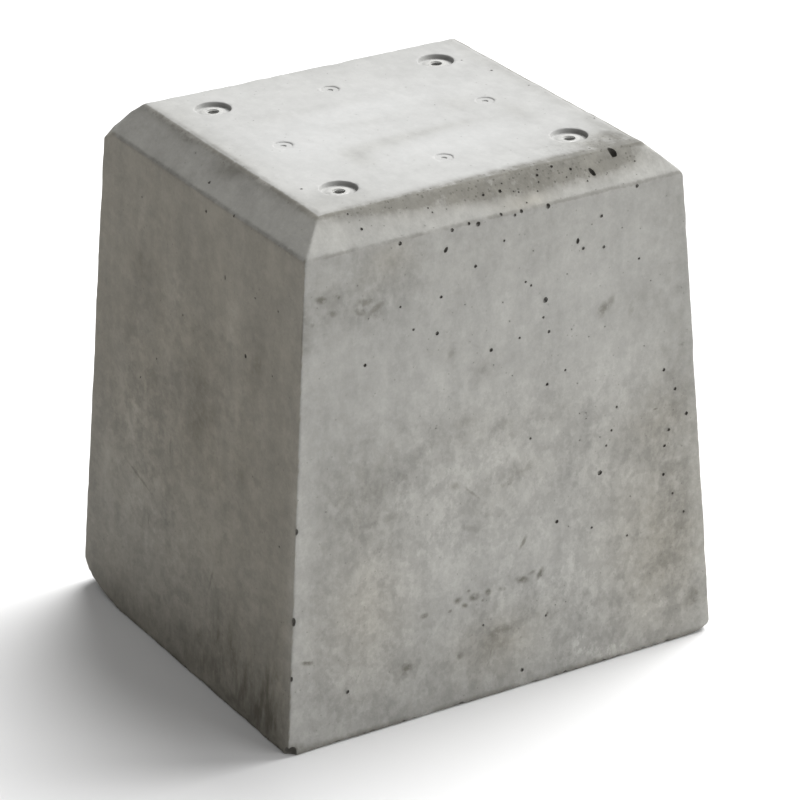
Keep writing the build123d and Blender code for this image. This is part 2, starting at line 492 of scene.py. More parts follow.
def unit_ball(divisions):
    """Points and triangles of a small round ball."""
    ball = bmesh.new()
    bmesh.ops.create_icosphere(ball, subdivisions=divisions, radius=1.0)
    ball.verts.index_update()
    points = np.array([list(vertex.co) for vertex in ball.verts])
    faces = [tuple(vertex.index for vertex in face.verts) for face in ball.faces]
    ball.free()
    return points, faces


BALLS = {divisions: unit_ball(divisions) for divisions in (1, 2, 3)}


class VoidTool:
    """Gathers rough little balls, none touching another, to be cut out of the block together."""

    def __init__(self):
        self.points, self.faces, self.taken = [], [], []

    def add(self, place, normal, half_width, half_height, depth, sink, lean=0.0, divisions=2):
        """Adds one ball under a place on the surface; it is skipped where another one is in the way."""
        reach = max(half_width, half_height) * (1 + VOID_ROUGHNESS)
        for other, other_reach in self.taken:
            if (place - other).length < reach + other_reach + VOID_CLEARANCE:
                return
        self.taken.append((place, reach))
        axes = np.array([list(axis) for axis in axes_on(normal, lean)])
        ball, faces = BALLS[divisions]
        lumps = [Vector(point) * VOID_LUMPS + place * VOID_VARIETY + SEED_OFFSET for point in ball]
        rough = 1 + VOID_ROUGHNESS * np.array([noise.noise(lump) for lump in lumps])
        shaped = ball * np.array([half_width, half_height, depth]) * rough[:, None]
        first = len(self.points)
        self.points += list(shaped @ axes + np.array(list(place - normal * sink)))
        self.faces += [tuple(first + corner for corner in face) for face in faces]

    def add_on_faces(self, spots):
        """Adds voids at (face, across, up, half width, half height, lean) on the worn surface."""
        nominal = np.array([list(face_point(face, across, up)) for face, across, up, *_ in spots])
        for place, (face, _, _, half_width, half_height, lean) in zip(onto_surface(nominal), spots):
            size = min(half_width, half_height) * MM
            depth = size * (SMALL_VOID_DEPTH if size < SMALL_VOID else 1)
            divisions = 1 if size < ROUND_VOID else 2
            halves = (half_width * MM, half_height * MM)
            self.add(Vector(place), PLANES[face][0], *halves, depth, depth * VOID_SINK, lean, divisions)

    def tool(self):
        """The balls as one object."""
        return mesh_object("void_cutters", self.points, self.faces)

    def holds(self, points):
        """Which points lie within the reach of a ball."""
        tree = KDTree(len(self.taken))
        for index, (place, _) in enumerate(self.taken):
            tree.insert(place, index)
        tree.balance()
        nearest = [tree.find(Vector(point)) for point in points]
        return np.array([distance < self.taken[index][1] for _, index, distance in nearest])


def spare_spots(counts, seed, radii):
    """Voids at random on each face, more of them towards its top, as air rises in the mould."""
    draw = np.random.default_rng(seed)
    spots = []
    for face, count in counts.items():
        for _ in range(count):
            share = 1 - draw.random() ** VOID_RISE
            if face == "top":
                across, up = draw.uniform(-CROWN_X, CROWN_X) / MM, draw.uniform(-CROWN_Y, CROWN_Y) / MM
            else:
                low, top = (SHOULDER_HEIGHT, HEIGHT) if face.endswith("chamfer") else (0, SHOULDER_HEIGHT)
                up = (low + (top - low) * (0.04 + 0.92 * share)) / MM
                half = half_sizes(up * MM)[face in END_FACES] / MM
                across = draw.uniform(-half + VOID_MARGIN, half - VOID_MARGIN)
            size = draw.choice(radii) * draw.uniform(0.8, 1.15)
            high = size * draw.uniform(0.85, 1.2)
            spots.append((face, across, up, size, high, draw.uniform(*VOID_LEANS)))
    return spots


def foot_nicks():
    """Small nicks at random along the edge of the foot, all around."""
    draw = np.random.default_rng(FOOT_NICK_SEED)
    spots = []
    for _ in range(FOOT_NICKS):
        face = ("front", "back", "left", "right")[draw.integers(4)]
        half = (FOOT_Y if face in END_FACES else FOOT_X) / MM
        size = draw.choice(FOOT_NICK_SIZES)
        along = size * draw.uniform(*FOOT_NICK_STRETCH)
        across = draw.uniform(-half + FOOT_NICK_MARGIN, half - FOOT_NICK_MARGIN)
        spots.append((face, across, draw.uniform(*FOOT_NICK_HEIGHTS), along, size, 0))
    return spots


def clear_of_recesses(spots):
    """Keeps the spots that miss the recesses and the marks in the top."""
    centres = [socket_axis(node).xy for node in SOCKET_NODES] + [Vector(place) for place in MARK_PLACES]
    kept = []
    for spot in spots:
        at = Vector(spot[1:3]) * MM
        if spot[0] != "top" or min((at - centre).length for centre in centres) > RECESS_CLEARANCE:
            kept.append(spot)
    return kept


def gather_voids():
    """Every void, nick and chip of the block."""
    voids = VoidTool()
    for face, groups in VOIDS.items():
        for radius, places in groups.items():
            voids.add_on_faces([(face, across, up, radius, radius, 0) for across, up in places])
    voids.add_on_faces([(face, *place, wide, high, lean) for face, place, wide, high, lean in LONG_VOIDS])
    outward = (PLANES["front"][0] + PLANES["left"][0]).normalized()
    up, size = FRONT_CORNER_CHIP
    corner = onto_surface(np.array([[-FOOT_X, -FOOT_Y, up * MM]]))[0]
    voids.add(Vector(corner), outward, *(Vector(size) * MM), sink=0, lean=FRONT_CHIP_LEAN, divisions=3)
    arris = np.array([(-half_sizes(up * MM)[0], -half_sizes(up * MM)[1], up * MM) for up, _ in ARRIS_NICKS])
    for place, (_, radius) in zip(onto_surface(arris), ARRIS_NICKS):
        voids.add(Vector(place), outward, radius * MM, radius * NICK_STRETCH * MM, radius * MM, sink=0)
    voids.add_on_faces(foot_nicks())
    for scattered in (SPARE_VOIDS, PINHOLES):
        voids.add_on_faces(clear_of_recesses(spare_spots(*scattered)))
    return voids


# Discolouring, with some painted shade and light among it, in millimetres on each face: centre, half sizes
# and strength
DARK_PATCHES = {
    "front": (
        (-104, 380, 34, 24, 0.42), (-150, 366, 22, 14, 0.3), (-38, 358, 9, 10, 0.25),
        (-46, 304, 10, 12, 0.3), (-16, 284, 9, 11, 0.5), (-108, 225, 34, 26, 0.45), (-120, 188, 20, 22, 0.5),
        (-147, 200, 16, 40, 0.35), (-36, 238, 24, 14, 0.4), (4, 228, 16, 10, 0.4), (15, 190, 20, 9, 0.4),
        (-14, 168, 20, 14, 0.3), (-170, 110, 14, 60, 0.3), (-5, 42, 34, 22, 0.45), (-88, 46, 26, 12, 0.3),
        (-132, 32, 22, 10, 0.3), (182, 34, 9, 9, 0.6), (138, 205, 26, 30, 0.35), (128, 302, 22, 20, 0.3),
        (30, 60, 26, 12, 0.25), (-43, 12, 80, 10, 0.3), (150, 90, 35, 55, 0.6), (0, 385, 170, 34, 0.16),
        (165, 200, 26, 190, 0.4), (166, 232, 14, 30, 0.25), (48, 230, 20, 14, 0.25),
        (-150, 300, 30, 120, 0.15),
    ),
    "front_chamfer": (
        (-118, 427, 26, 2.5, 0.8), (-85, 426, 30, 3.5, 1.2), (-45, 425, 30, 4.5, 1.7), (-5, 424, 30, 6, 1.9),
        (35, 424, 32, 7, 2.0), (75, 424, 32, 7, 2.0), (104, 425, 24, 7, 1.9), (128, 425, 9, 7, 0.5),
    ),
    # The two faint patches as wide as the left side, at 210 and 290 mm up, darken its middle: painted shade
    "left": (
        (-9, 252, 18, 30, 0.45), (-99, 300, 14, 18, 0.45), (-12, 214, 16, 16, 0.45), (93, 318, 16, 20, 0.4),
        (-77, 50, 46, 26, 0.3), (-143, 44, 26, 50, 0.5), (5, 34, 26, 14, 0.3), (-123, 4, 45, 14, 0.5),
        (-45, 20, 40, 18, 0.35), (119, 16, 30, 10, 0.3), (-79, 201, 14, 10, 0.3), (0, 290, 180, 50, 0.12),
        (0, 210, 180, 60, 0.15),
    ),
    "left_chamfer": (
        (62, 427, 12, 4, 1.0), (-9, 425, 14, 6, 1.0), (-60, 428, 70, 2.5, 0.9), (100, 428, 50, 2, 0.9),
    ),
    "top": (
        (-120, -125, 24, 10, 0.3), (122, -126, 22, 13, 1.3), (60, -136, 90, 5, 1.5), (-70, -138, 70, 3, 0.8),
        (-142, 10, 2.5, 130, 0.7), (138, -100, 8, 30, 0.5),
    ),
    "back": (
        (40, 320, 60, 30, 0.4), (-90, 180, 40, 70, 0.35), (120, 60, 50, 40, 0.45), (-20, 20, 120, 18, 0.4),
    ),
    "right": ((-60, 300, 40, 50, 0.4), (70, 200, 35, 60, 0.35), (0, 30, 110, 26, 0.45)),
    "back_chamfer": ((0, 424, 110, 5, 0.6),),
    "right_chamfer": ((20, 424, 80, 5, 0.5),),
}
PALE_PATCHES = {
    "front": (
        (-13, 138, 50, 30, 0.45), (-28, 311, 50, 40, 0.3), (-42, 372, 30, 28, 0.35), (54, 333, 40, 34, 0.25),
        (110, 250, 26, 24, 0.4), (-180, 250, 6, 150, 0.5), (30, 240, 60, 26, 0.35), (96, 110, 50, 36, 0.35),
        (-100, 132, 36, 26, 0.4), (-95, 192, 12, 10, 0.5), (-10, 205, 24, 12, 0.4), (150, 36, 20, 16, 0.45),
        (170, 130, 14, 50, 0.3), (60, 90, 40, 22, 0.3), (-60, 270, 40, 24, 0.35), (150, 320, 20, 40, 0.3),
    ),
    "front_chamfer": (
        (20, 411, 60, 4, 0.45), (-80, 411, 60, 5, 0.35), (146, 414, 26, 11, 1.3), (-140, 417, 20, 10, 0.4),
        (90, 410, 50, 4, 0.5),
    ),
    # The broad pale patch at 80 mm across and 80 mm up is painted light that lifts the lower part of the
    # left side
    "left": (
        (94, 352, 9, 26, 0.6), (32, 313, 9, 20, 0.75), (-58, 323, 11, 26, 0.6), (92, 179, 26, 50, 0.4),
        (-164, 200, 6, 220, 0.6), (10, 110, 60, 40, 0.3), (-80, 140, 40, 30, 0.3), (80, 80, 80, 60, 0.4),
    ),
    "left_chamfer": ((-110, 416, 40, 10, 0.5), (110, 420, 40, 10, 0.3)),
    "back": ((-60, 300, 60, 50, 0.5), (70, 170, 60, 60, 0.45), (-140, 60, 30, 40, 0.5)),
    "right": ((50, 320, 50, 50, 0.5), (-80, 140, 40, 60, 0.45)),
}
WARM_PATCHES = {
    "front": (
        (150, 90, 50, 75, 0.9), (-128, 104, 34, 50, 0.8), (-9, 46, 34, 22, 0.7), (30, 200, 150, 60, 0.2),
        (-96, 392, 16, 12, 0.6), (150, 200, 30, 20, 0.4),
    ),
    "front_chamfer": ((30, 422, 110, 8, 0.4), (25, 410, 20, 4, 0.8)),
    "left": ((0, 200, 260, 300, 0.8),),
    "back": ((100, 120, 70, 80, 0.7),),
    "right": ((0, 90, 120, 70, 0.7),),
}
MOTTLED_PATCHES = {
    "front": (
        (-70, 190, 80, 60, 1.0), (90, 190, 90, 70, 0.7), (60, 40, 130, 45, 1.0), (-140, 60, 50, 70, 0.8),
        (150, 100, 40, 90, 0.8), (-110, 370, 50, 30, 0.6), (40, 60, 60, 30, 0.5),
    ),
    "front_chamfer": ((40, 424, 110, 6, 0.9),),
    "top": ((100, -120, 60, 20, 0.8),),
    "left": ((0, 60, 180, 90, 0.6), (-10, 250, 120, 90, 0.5), (95, 180, 40, 60, 0.6)),
    "back": ((60, 120, 130, 100, 0.9), (-120, 250, 80, 90, 0.6)),
    "right": ((-30, 130, 120, 100, 0.9), (80, 300, 80, 70, 0.5)),
}
DRIP_PATCHES = {
    "left": (
        (-80, 42, 24, 34, 0.9), (-140, 40, 24, 46, 0.9), (-112, 18, 40, 18, 0.6), (-28, 42, 26, 24, 0.6),
        (30, 30, 40, 16, 0.35), (-20, 14, 60, 9, 0.4), (110, 14, 50, 10, 0.4),
    ),
    "back": ((60, 40, 90, 40, 0.5), (-120, 330, 30, 90, 0.35)),
    "right": ((-40, 30, 80, 36, 0.6), (90, 350, 30, 60, 0.35)),
    "front": ((150, 100, 30, 60, 0.2), (-20, 20, 120, 16, 0.2)),
}
# Marks that the material draws, by face and lean in degrees: across, up, half sizes and strength
SMUDGES = {
    ("front", -60): ((-130, 205, 7, 4, 0.37),),
    ("front", -45): ((-28, 182, 11, 1.1, 0.54), (-115, 194, 8, 5, 0.45)),
    ("front", -30): (
        (-124, 356, 6, 3.4, 0.88), (-92, 212, 8, 3.6, 0.45), (-30, 152, 9, 3, 0.29), (18, 127, 1.6, 6, 0.82),
        (34, 96, 2.4, 5, 0.98), (-91, 47, 5, 4.6, 1),
    ),
    ("front", -15): (
        (-157, 373, 6, 3.4, 1), (-143, 372, 6, 2.6, 0.98), (-148, 360, 5, 3, 0.82),
        (-166, 355, 3, 2.4, 0.68), (-46, 304, 4, 5, 0.43), (-44, 192, 5, 3.6, 0.54), (1, 233, 9, 5.5, 0.4),
        (11, 222, 3.6, 7, 0.37), (-38, 227, 9, 4, 0.34), (-37, 87, 2.6, 2.2, 1), (-15, 93, 3, 3.2, 1),
        (-2, 92, 4, 1.8, 0.68),
        (17, 95, 6, 2.8, 1), (40, 58, 1.4, 2.6, 1), (-8, 46, 18, 9, 0.59), (-180, 77, 6, 1.8, 1),
        (153, 18, 10, 7, 0.24), (184, 34, 4.5, 7, 0.88), (-13, 40, 0.8, 17, 0.68), (-192, 4, 9, 5, 1),
    ),
    ("front", 0): (
        (-119, 363, 8, 4, 0.82), (144, 211, 3, 0.9, 0.98), (134, 209, 6, 3.4, 0.34), (170, 261, 4, 2, 0.68),
        (-102, 181, 9, 4.5, 0.45), (-36, 243, 10, 5.5, 0.4), (-121, 249, 10, 3, 0.29),
        (-43, 93, 3.6, 2.6, 0.98), (-28, 92, 4.6, 3.2, 1), (-5, 55, 16, 5, 0.73), (-112, 352, 10, 5, 0.6),
        (-108, 371, 12, 7, 0.4), (-128, 360, 12, 5, 0.35), (-126, 364, 5, 5, 0.5),
    ),
    ("front", 15): (
        (-120, 381, 7, 5, 0.49), (19, 191, 13, 4.4, 0.45), (-122, 220, 9, 5, 0.37), (-74, 88, 3.6, 2, 0.98),
        (-42, 44, 3.4, 3.4, 0.7), (-33, 99, 1.6, 1.3, 0.8), (-20, 87, 1.3, 1.1, 0.7),
        (-50, 86, 1.6, 1.2, 0.7), (26, 99, 3.4, 1.6, 0.6),
    ),
    ("front", 30): ((-110, 356, 8, 3.4, 0.82), (5, 183, 8, 4.2, 0.45)),
    ("front", 60): ((95, 308, 7, 4.4, 0.85), (101, 312, 8, 3.6, 0.59), (-16, 284, 4.5, 3.4, 0.45)),
    ("front", 75): ((121, 303, 8, 3, 0.43),),
    ("left", -15): (
        (83, 133, 24, 1.4, 0.54), (-43, 97, 1.6, 9, 0.67), (-145, 34, 6, 12, 0.72), (-150, 58, 5, 10, 0.6),
    ),
    ("left", 0): (
        (93, 319, 7, 10, 0.41), (-99, 300, 9, 12, 0.54), (-12, 214, 12, 10, 0.48), (-9, 252, 14, 26, 0.41),
        (32, 180, 1.6, 11, 0.48), (-79, 201, 13, 5, 0.41), (-105, 29, 1.5, 15, 0.65), (-128, 36, 4, 8, 0.54),
        (-148, 88, 4, 18, 0.37), (-84, 9, 26, 6, 0.65), (-114, 6, 24, 5, 0.65), (-150, 9, 20, 7, 0.65),
        (-163, 352, 1.6, 30, 0.5), (-164, 338, 2.6, 6, 0.5),
    ),
    ("left", 15): ((-29, 36, 7, 9, 0.6),),
    ("back", 15): (
        (-120, 350, 9, 4, 0.6), (-104, 344, 6, 5, 0.5), (60, 210, 10, 5, 0.45), (84, 84, 6, 2.4, 0.7),
        (98, 88, 4, 2.2, 0.8), (20, 40, 14, 6, 0.5), (-60, 120, 10, 4, 0.4),
    ),
    ("right", 0): (
        (-90, 60, 6, 14, 0.5), (-30, 34, 5, 12, 0.5), (70, 310, 8, 5, 0.55), (82, 300, 4, 4, 0.6),
        (10, 190, 12, 5, 0.4), (120, 90, 3, 2.4, 0.8),
    ),
    ("left_chamfer", 0): (
        (62, 426, 7, 3, 0.6), (-9, 423, 8, 5, 0.54), (-40, 427, 8, 2.2, 0.48), (-90, 428, 12, 1.6, 0.48),
    ),
}
CRUSTS = {
    ("front", -15): (
        (84, 15, 9, 5, 0.53), (118, 40, 8, 6, 0.26), (117, 163, 6, 5, 0.18), (60, 10, 8, 4, 0.26),
        (-178, 12, 6, 5, 0.26),
    ),
    ("front", 0): (
        (71, 22, 7, 8.5, 0.98), (102, 8, 12, 4.5, 0.72), (151, 38, 6, 3.6, 0.53), (-95, 194, 10, 8, 0.16),
        (8, 205, 12, 6, 0.12),
    ),
    ("front", 15): ((132, 33, 4, 3, 0.44),),
    ("front", 30): ((120, 62, 10, 6, 0.26),),
    ("back", 15): ((110, 24, 9, 6, 0.56), (-150, 150, 6, 5, 0.48), (30, 260, 8, 4, 0.4)),
    ("right", 15): ((50, 26, 9, 7, 0.56), (-110, 200, 5, 8, 0.4)),
    ("left", -15): ((94, 352, 3.4, 19, 0.29), (-58, 323, 6, 20, 0.26)),
    ("left", 0): ((32, 313, 6, 17, 0.32), (92, 182, 5, 26, 0.2), (76, 190, 3, 30, 0.17)),
}
# Thin pale film on the top, which also carries painted light, as the top's colour is lighter than the
# sides': more of it in a cloud at the middle, less of it along swirls and edges
FILM_CLOUDS = (
    (-20, 0, 95, 70, 0.1), (25, -64, 50, 20, 0.24), (-74, -9, 30, 26, 0.24), (50, 50, 70, 30, 0.1),
    (-20, 30, 50, 20, 0.14),
)
FILM_GAPS = (
    (-30, 55, 60, 8, 0.12), (-14, -36, 26, 8, 0.3), (26, -33, 30, 6, 0.3), (-46, -42, 18, 10, 0.26),
    (-60, -56, 9, 18, 0.34), (97, -32, 8, 20, 0.26), (66, 6, 12, 16, 0.22), (40, 100, 110, 40, 0.06),
    (-138, 20, 10, 90, 0.30), (-130, 110, 26, 26, 0.2), (118, -120, 34, 16, 0.5), (-118, -118, 34, 22, 0.3),
    (0, -137, 140, 5, 0.3), (140, 30, 8, 100, 0.3), (0, 137, 150, 8, 0.15), (-20, 8, 30, 7, 0.14),
)
TOP_FILM_AND_LIGHT = 0.77
# How much darker and browner the left side is as a whole: painted shade on that side, with some brown grime
SIDE_SHADE_AND_GRIME = {"left": 1.0, "left_chamfer": 0.30}
# Gaps in it: the broad one low down is painted light that lifts the lower part; the narrow one runs beside
# the front arris
SHADE_AND_GRIME_GAPS = {"left": ((90, 90, 110, 60, 0.35), (-171, 170, 7, 190, 0.3))}
STRONGEST_PATCH = 2.2
PATCH_FADE = 0.7
# Painted shade inside the voids: its share at the surface, and the depth over which it grows to full
VOID_SHADE_RIM = 0.12
VOID_SHADE_FULL = 1.0 * MM
# Painted shade on the walls of the recesses, darkest on the side that faces away from the key light
RECESS_SHADE_FROM = 13.2 * MM
RECESS_SHADE_BEYOND = 0.8 * MM
RECESS_SHADE_TOP = 0.5 * MM
RECESS_SHADE_FADE = 1.5 * MM
RECESS_SHADE_SIDE = math.radians(12)
RECESS_SHADE_LEAST = 0.15
RECESS_SHADE_SWING = 0.95


def face_of(points):
    """Index of the body's face that each point belongs to."""
    depth = points @ PLANE_NORMALS[: len(FACE_NAMES)].T - PLANE_REACH[: len(FACE_NAMES)]
    return depth.argmax(axis=1)


def patch_strength(points, faces, patches):
    """Adds up soft oval patches on each face."""
    total = np.zeros(len(points))
    for name, spots in patches.items():
        chosen = faces == FACE_NAMES.index(name)
        across = points[chosen, 1 if name in END_FACES else 0] / MM
        up = points[chosen, 1 if name == "top" else 2] / MM
        for centre_across, centre_up, half_across, half_up, strength in spots:
            spread = ((across - centre_across) / half_across) ** 2 + ((up - centre_up) / half_up) ** 2
            total[chosen] += strength * np.exp(-PATCH_FADE * spread)
    return np.clip(total, 0, STRONGEST_PATCH)


def top_film_and_light(points, faces):
    """How thick the pale film, with its painted light, lies on the top."""
    clouds = patch_strength(points, faces, {"top": FILM_CLOUDS})
    gaps = patch_strength(points, faces, {"top": FILM_GAPS})
    return np.clip(TOP_FILM_AND_LIGHT + clouds - gaps, 0, 1) * (faces == FACE_NAMES.index("top"))


def left_shade_and_grime_amount(points, faces):
    """How much painted shade and brown grime lies on the left side."""
    total = -patch_strength(points, faces, SHADE_AND_GRIME_GAPS)
    for name, strength in SIDE_SHADE_AND_GRIME.items():
        total = total + (faces == FACE_NAMES.index(name)) * strength
    return total


def painted_recess_shade(points):
    """Painted shade on the walls of the recesses, darkest on the side that faces away from the key light."""
    total = np.zeros(len(points))
    for node in SOCKET_NODES:
        axis = socket_axis(node)
        across, along = points[:, 0] - axis.x, points[:, 1] - axis.y
        distance = np.hypot(across, along)
        near_wall = np.clip((distance - RECESS_SHADE_FROM) / (RECESS_RADIUS - RECESS_SHADE_FROM), 0, 1)
        inside = distance < RECESS_RADIUS + RECESS_SHADE_BEYOND
        below = np.clip((HEIGHT - points[:, 2] - RECESS_SHADE_TOP) / RECESS_SHADE_FADE, 0, 1)
        side = np.clip(RECESS_SHADE_LEAST + RECESS_SHADE_SWING * np.cos(np.arctan2(along, across) - RECESS_SHADE_SIDE), 0, 1)
        total += inside * near_wall * below * side
    return total


def painted_void_shade(points, voids):
    """How much painted shade each point gets, by how deep inside a void it lies; the recesses and marks are
    no voids.
    """
    gap, _ = gap_to_surface(points, *wear_at(points))
    void_shade = np.clip(VOID_SHADE_RIM - gap / VOID_SHADE_FULL, 0, 1) * voids.holds(points)
    cut = [(*socket_axis(node).xy, RECESS_RADIUS + 2 * MM) for node in SOCKET_NODES]
    cut += [(x, y, MARK_RADIUS + 1 * MM) for x, y in MARK_PLACES]
    for x, y, reach in cut:
        void_shade[np.hypot(points[:, 0] - x, points[:, 1] - y) < reach] = 0
    return void_shade


def paint_block(block, voids):
    """Stores what discolours the concrete, and where shade and light are painted on it, one number per
    vertex, for the material to read.
    """
    points = np.zeros(len(block.data.vertices) * 3)
    block.data.vertices.foreach_get("co", points)
    points = points.reshape(-1, 3)
    faces = face_of(points)
    for name, values in (
        ("stain_and_shade", patch_strength(points, faces, DARK_PATCHES)),
        ("drips", patch_strength(points, faces, DRIP_PATCHES)),
        ("recess_shade", painted_recess_shade(points)),
        ("pale", patch_strength(points, faces, PALE_PATCHES)),
        ("warm", patch_strength(points, faces, WARM_PATCHES)),
        ("mottled", patch_strength(points, faces, MOTTLED_PATCHES)),
        ("left_shade_and_grime", left_shade_and_grime_amount(points, faces)),
        ("film", top_film_and_light(points, faces)),
        ("void_shade", painted_void_shade(points, voids)),
    ):
        stored = block.data.attributes.new(name, "FLOAT", "POINT")
        stored.data.foreach_set("value", np.asarray(values, dtype=np.float32))


def dress(piece, material, sharp_angle):
    """Gives a piece its material, and smooth shading up to an angle."""
    piece.data.shade_smooth()
    piece.data.set_sharp_from_angle(angle=sharp_angle)
    piece.data.materials.clear()
    piece.data.materials.append(material)


BLOCK_SHARP_ANGLE = math.radians(48)


def make_block():
    """The worn body with its recesses, marks and voids cut."""
    points, faces = body_grid()
    block = mesh_object("concrete_block", onto_surface(points), faces)
    cut_away(block, recess_cutters())
    voids = gather_voids()
    cut_away(block, voids.tool())
    paint_block(block, voids)
    dress(block, concrete_material(), BLOCK_SHARP_ANGLE)
    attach(block, "root")
    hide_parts("pier_block")


# Threaded sockets
SOCKET_LENGTH = 50 * MM
SOCKET_SEGMENTS = 48
SOCKET_SHARP_ANGLE = math.radians(35)
MOUTH_RADIUS = 5.1 * MM
MOUTH_TAPER = 0.35 * MM
MOUTH_DEPTH = 0.7 * MM
RIM_BREAK = 0.4 * MM
# One turn of the thread: how far down it, and how far out from the bore to the groove
THREAD_FORM = ((0.0, 0.0), (0.12, 0.0), (0.46, 1.0), (0.54, 1.0), (0.88, 0.0))


def thread_turns(points, faces, centre, mouth):
    """Adds a helical groove down the bore, from the mouth's ring of points to a flat end."""
    turns = round(THREAD_DEPTH / THREAD_PITCH) - 1
    steps = turns * SOCKET_SEGMENTS
    turn = 2 * math.pi / SOCKET_SEGMENTS
    first = len(points)
    form = len(THREAD_FORM)
    for step in range(steps + SOCKET_SEGMENTS + 1):
        for drop, rise in THREAD_FORM[: form if step <= steps else 1]:
            r = BORE_RADIUS + (THREAD_RADIUS - BORE_RADIUS) * rise
            z = -MOUTH_DEPTH - THREAD_PITCH * (step / SOCKET_SEGMENTS + drop)
            points.append(turned_point(centre, r, turn * step, z))
    tail = first + (steps + 1) * form
    end = len(points)
    for k in range(SOCKET_SEGMENTS):
        points.append(turned_point(centre, BORE_RADIUS, turn * k, -THREAD_DEPTH - THREAD_PITCH))

    def at(step, part):
        """Index of the point at a step down the helix and a part of the thread's form."""
        if part == form:
            step, part = step + SOCKET_SEGMENTS, 0
        if step <= steps:
            return first + step * form + part
        return tail + step - steps - 1

    for step in range(steps):
        for part in range(form):
            faces.append((at(step, part), at(step, part + 1), at(step + 1, part + 1), at(step + 1, part)))
    for k in range(SOCKET_SEGMENTS):
        after = (k + 1) % SOCKET_SEGMENTS
        faces.append((mouth + k, at(k, 0), at(k + 1, 0), mouth + after))
        faces.append((at(steps + k, 0), end + k, end + after, at(steps + k + 1, 0)))
    faces.append((mouth, *(at(0, part) for part in range(form, -1, -1))))
    faces.append((end, *(at(steps, part) for part in range(form + 1))))
    faces.append(tuple(range(end, end + SOCKET_SEGMENTS)))


def make_socket(node, material):
    """Cast-in sleeve with its broken rim, mouth chamfer and thread."""
    centre = socket_axis(node)
    profile = (
        (MOUTH_RADIUS - MOUTH_TAPER, -MOUTH_DEPTH),
        (MOUTH_RADIUS, 0),
        (SOCKET_RADIUS - RIM_BREAK, 0),
        (SOCKET_RADIUS - RIM_BREAK * 0.3, -RIM_BREAK * 0.3),
        (SOCKET_RADIUS, -RIM_BREAK),
        (SOCKET_RADIUS, -SOCKET_LENGTH),
    )
    points, faces = [], []
    lathe(points, faces, centre, profile, SOCKET_SEGMENTS, open_top=True)
    thread_turns(points, faces, centre, 0)
    socket = mesh_object("threaded_" + node, points, faces)
    dress(socket, material, SOCKET_SHARP_ANGLE)
    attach(socket, "root")
    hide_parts(node)


# Shader helpers: each one finds its node tree by the sockets that it is given
def new_material(name):
    """Empty node material, with its shader."""
    material = bpy.data.materials.new(name)
    material.use_nodes = True
    return material, material.node_tree, material.node_tree.nodes["Principled BSDF"]


def new_node(kind, *values):
    """Node in the tree of the first value that is a socket."""
    sockets = (value for value in values if isinstance(value, bpy.types.NodeSocket))
    return next(sockets).id_data.nodes.new(kind)


def fed(node, values, result=0):
    """Links a node's sockets, or sets their numbers and colours, and gives one of its results."""
    for name, value in values.items():
        socket = node.inputs[name]
        if isinstance(value, bpy.types.NodeSocket):
            node.id_data.links.new(value, socket)
        else:
            socket.default_value = (*value, 1) if socket.type == "RGBA" else value
    return node.outputs[result]


def calc(operation, first, second=0.0, clamp=False):
    """One step of arithmetic."""
    node = new_node("ShaderNodeMath", first, second)
    node.operation = operation
    node.use_clamp = clamp
    return fed(node, {0: first, 1: second})


def times(first, second):
    return calc("MULTIPLY", first, second)


def plus(first, second):
    return calc("ADD", first, second)


def larger(first, second):
    return calc("MAXIMUM", first, second)


def swing(pattern, amount):
    """How far a pattern is from its middle, times an amount."""
    return times(calc("SUBTRACT", pattern, 0.5), amount)


def broken(mask, pattern, contrast, middle=0.65):
    """A soft mask broken up by a pattern; middle is the share that an average spot keeps."""
    kept = calc("ADD", swing(pattern, contrast), middle, clamp=True)
    return calc("MULTIPLY", mask, kept, clamp=True)


def remap(value, low, high, to_low=0.0, to_high=1.0):
    """Soft step of a value from one range to another."""
    node = new_node("ShaderNodeMapRange", value)
    node.interpolation_type = "SMOOTHSTEP"
    limits = {"From Min": low, "From Max": high, "To Min": to_low, "To Max": to_high}
    return fed(node, {"Value": value, **limits})


def blend(amount, first, second, kind="MIX"):
    """Mixes two colours by an amount."""
    node = new_node("ShaderNodeMix", amount, first, second)
    node.data_type = "RGBA"
    node.blend_type = kind
    return fed(node, {0: amount, 6: first, 7: second}, 2)


def scaled_place(tree, stretch, offset=(0, 0, 0)):
    """The object's own coordinates, stretched and shifted."""
    place = tree.nodes.new("ShaderNodeTexCoord").outputs["Object"]
    node = new_node("ShaderNodeMapping", place)
    return fed(node, {"Scale": stretch, "Location": offset, "Vector": place})


def cloud(place, scale, detail, roughness, result="Fac"):
    """Noise from 0 to 1."""
    node = new_node("ShaderNodeTexNoise", place)
    return fed(node, {"Vector": place, "Scale": scale, "Detail": detail, "Roughness": roughness}, result)


def specks(place, scale, radius, share):
    """Round dots in a random share of small cells: 1 inside a dot."""
    cells = new_node("ShaderNodeTexVoronoi", place)
    distance = fed(cells, {"Vector": place, "Scale": scale}, "Distance")
    dot = remap(distance, radius, radius * 0.55)
    chance = fed(new_node("ShaderNodeSeparateColor", distance), {0: cells.outputs["Color"]})
    return times(dot, calc("LESS_THAN", chance, share))


def attribute(tree, name):
    """A number that the mesh stores."""
    node = tree.nodes.new("ShaderNodeAttribute")
    node.attribute_name = name
    return node.outputs["Fac"]


def vector_step(operation, first, second=(0, 0, 0), result="Vector", third=(0, 0, 0)):
    """One step of vector arithmetic."""
    node = new_node("ShaderNodeVectorMath", first)
    node.operation = operation
    return fed(node, {0: first, 1: second, 2: third}, result)


def ragged(place, scale, amount):
    """A place pushed about by noise, so that what is drawn with it gets broken edges."""
    push = cloud(place, scale, 5, 0.68, "Color")
    push = vector_step("SUBTRACT", push, (0.5, 0.5, 0.5))
    push = vector_step("MULTIPLY", push, (amount, amount, amount))
    return vector_step("ADD", place, push)


